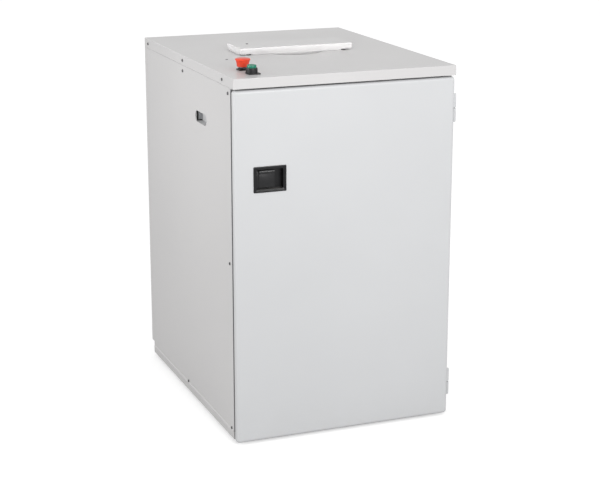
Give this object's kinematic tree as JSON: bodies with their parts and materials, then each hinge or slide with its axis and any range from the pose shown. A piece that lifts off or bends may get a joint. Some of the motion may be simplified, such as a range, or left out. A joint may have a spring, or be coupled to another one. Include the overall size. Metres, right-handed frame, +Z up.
{
  "type": "industrial disintegrator",
  "caption": "Floor-standing steel cabinet with a knife mill inside: a lidded feed slot on top, push-buttons beside it, and a hinged front door with a flush latch over the waste bin.",
  "frame": {"origin": "on the floor under the middle of the cabinet", "axes": "+Z up, -Y towards the person at the door, +X to that person's right, where the door hinges are"},
  "size_m": [0.6227, 0.798, 0.996],
  "materials": {
    "powder_coat": "satin pale grey-white powder coat",
    "door_coat": "satin pale grey-white powder coat",
    "frame_paint": "plain grey primer and paint",
    "zinc_steel": "bright zinc plate",
    "chute_steel": "mill-finish sheet",
    "mill_iron": "machined casting, oiled",
    "tool_steel": "ground tool steel",
    "rotor_steel": "turned steel",
    "screen_steel": "punched plate",
    "pulley_iron": "phosphated iron",
    "motor_iron": "blue-grey enamel on iron",
    "motor_trim": "blue-grey enamel",
    "rubber": "matte black",
    "seal_rubber": "closed-cell strip, matte",
    "liner_foam": "open-cell sound foam",
    "black_plastic": "fine-grained black",
    "latch_cast": "black powder coat on a die casting",
    "red_plastic": "smooth signal red",
    "green_plastic": "smooth green",
    "steel_pin": "turned steel",
    "bin_plastic": "moulded, fine grain",
    "box_grey": "moulded enclosure, plain grey"
  },
  "bodies": {
    "cabinet": {"top_cover": "powder_coat", "left_side_panel": "powder_coat", "right_side_panel": "powder_coat", "rear_panel": "powder_coat", "base_pan": "powder_coat", "corner_posts": "frame_paint", "top_rails": "frame_paint", "deck_rails": "frame_paint", "mill_deck": "frame_paint", "motor_base": "frame_paint", "panel_screws": "zinc_steel", "housing_bolts": "zinc_steel", "latch_strike": "zinc_steel", "lid_hinge_leaves": "zinc_steel", "hinge_frame_leaves": "zinc_steel", "feed_chute": "chute_steel", "discharge_funnel": "chute_steel", "left_end_plate": "mill_iron", "right_end_plate": "mill_iron", "front_housing": "mill_iron", "rear_housing": "mill_iron", "bearing_housings": "mill_iron", "bed_knives": "tool_steel", "sizing_screen": "screen_steel", "motor_body": "motor_iron", "motor_cowl": "motor_trim", "terminal_box": "motor_trim", "rubber_feet": "rubber", "vibration_mounts": "rubber", "lid_bumpers": "rubber", "cable_entry": "rubber", "drive_belt": "rubber", "door_seal": "seal_rubber", "contact_blocks": "black_plastic", "estop_base": "black_plastic", "start_bezel": "black_plastic", "waste_bin": "bin_plastic", "control_box": "box_grey", "left_grip_cup": "box_grey", "right_grip_cup": "box_grey"},
    "door": {"door_shell": "door_coat", "door_liner": "liner_foam", "hinge_door_leaves": "zinc_steel", "latch_cup": "black_plastic"},
    "latch_paddle": {"latch_paddle": "latch_cast"},
    "latch_bolt": {"latch_bolt": "zinc_steel"},
    "feed_lid": {"feed_lid": "powder_coat", "lid_hinge_flaps": "zinc_steel"},
    "estop_plunger": {"estop_stem": "steel_pin"},
    "estop_head": {"estop_head": "red_plastic"},
    "start_cap": {"start_cap": "green_plastic"},
    "rotor": {"rotor_shaft": "rotor_steel", "rotor_drum": "rotor_steel", "fly_knives": "tool_steel", "knife_bolts": "zinc_steel", "rotor_pulley": "pulley_iron"},
    "motor_drive": {"motor_shaft": "rotor_steel", "motor_pulley": "pulley_iron"}
  },
  "joints": [
    {"name": "door_swing", "type": "hinge", "parent": "cabinet", "child": "door", "pos_m": [0.3105, -0.374, 0.4705], "axis": [0, 0, 1], "range_deg": [0, 120]},
    {"name": "latch_pull", "type": "hinge", "parent": "door", "child": "latch_paddle", "pos_m": [-0.2442, -0.3905, 0.707], "axis": [0, 0, -1], "range_deg": [0, 30], "stiffness_Nm_per_rad": 0.4, "springref_deg": -5.73},
    {"name": "latch_bolt_slide", "type": "slide", "parent": "door", "child": "latch_bolt", "axis": [1, 0, 0], "range_m": [0, 0.0105]},
    {"name": "lid_swing", "type": "hinge", "parent": "cabinet", "child": "feed_lid", "pos_m": [0, 0.078, 0.972], "axis": [-1, 0, 0], "range_deg": [0, 100]},
    {"name": "estop_push", "type": "slide", "parent": "cabinet", "child": "estop_plunger", "axis": [0, 0, -1], "range_m": [0, 0.005], "stiffness_N_per_m": 1000, "springref_m": -0.001},
    {"name": "estop_twist", "type": "hinge", "parent": "estop_plunger", "child": "estop_head", "pos_m": [-0.235, -0.266, 0.985], "axis": [0, 0, -1], "range_deg": [0, 40], "stiffness_Nm_per_rad": 0.05, "springref_deg": -2.86},
    {"name": "start_push", "type": "slide", "parent": "cabinet", "child": "start_cap", "axis": [0, 0, -1], "range_m": [0, 0.004], "stiffness_N_per_m": 800, "springref_m": -0.001},
    {"name": "rotor_spin", "type": "hinge", "parent": "cabinet", "child": "rotor", "pos_m": [0, 0.018, 0.6501], "axis": [1, 0, 0], "continuous": true},
    {"name": "motor_spin", "type": "hinge", "parent": "cabinet", "child": "motor_drive", "pos_m": [0, 0.225, 0.16], "axis": [1, 0, 0], "continuous": true}
  ],
  "couplings": [
    {"joint": "latch_bolt_slide", "follows": "latch_pull", "m_per_rad": 0.0191},
    {"joint": "motor_spin", "follows": "rotor_spin", "ratio": 1.3889}
  ]
}
